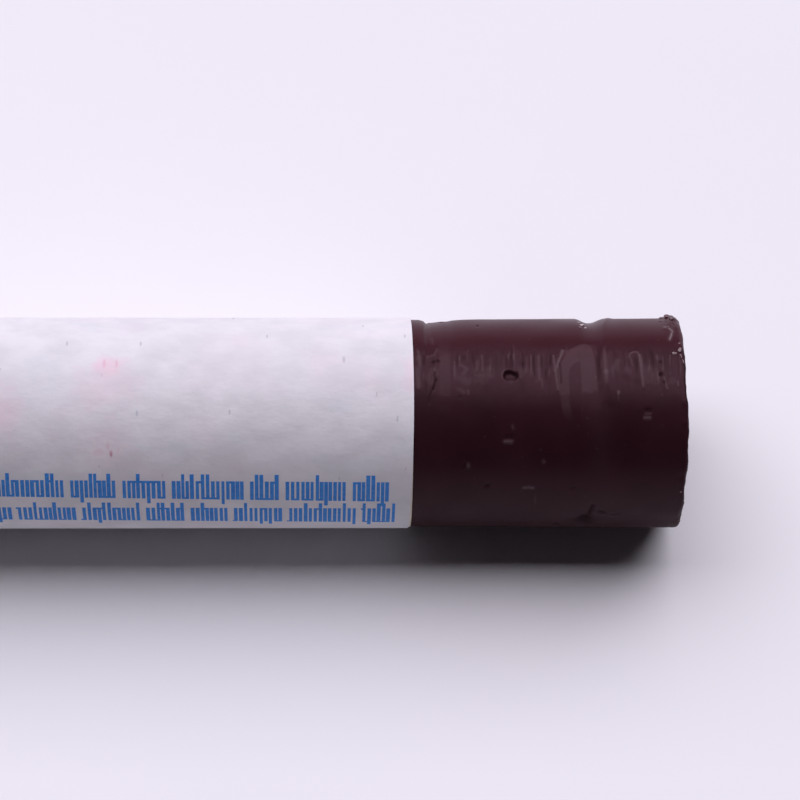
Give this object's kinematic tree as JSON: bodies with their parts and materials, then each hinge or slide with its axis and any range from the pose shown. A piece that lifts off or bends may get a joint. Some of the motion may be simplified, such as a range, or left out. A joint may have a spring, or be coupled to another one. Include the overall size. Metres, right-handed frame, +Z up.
{
  "type": "furniture repair wax stick",
  "caption": "Round bar of dark brown filler wax, gripped by a glued paper label wrapped and lapped round it, with a bare rubbing tip.",
  "frame": {"origin": "on the surface that the stick lies on, under the middle of its length", "axes": "+X along the bar, from the base towards the rubbing tip, and +Z up"},
  "size_m": [0.06, 0.0122, 0.0122],
  "materials": {
    "filler_wax": "satin",
    "label_paper": "matte",
    "adhesive": "satin"
  },
  "bodies": {
    "root": {"wax_stick": "filler_wax", "paper_label": "label_paper", "label_adhesive": "adhesive"}
  },
  "joints": []
}
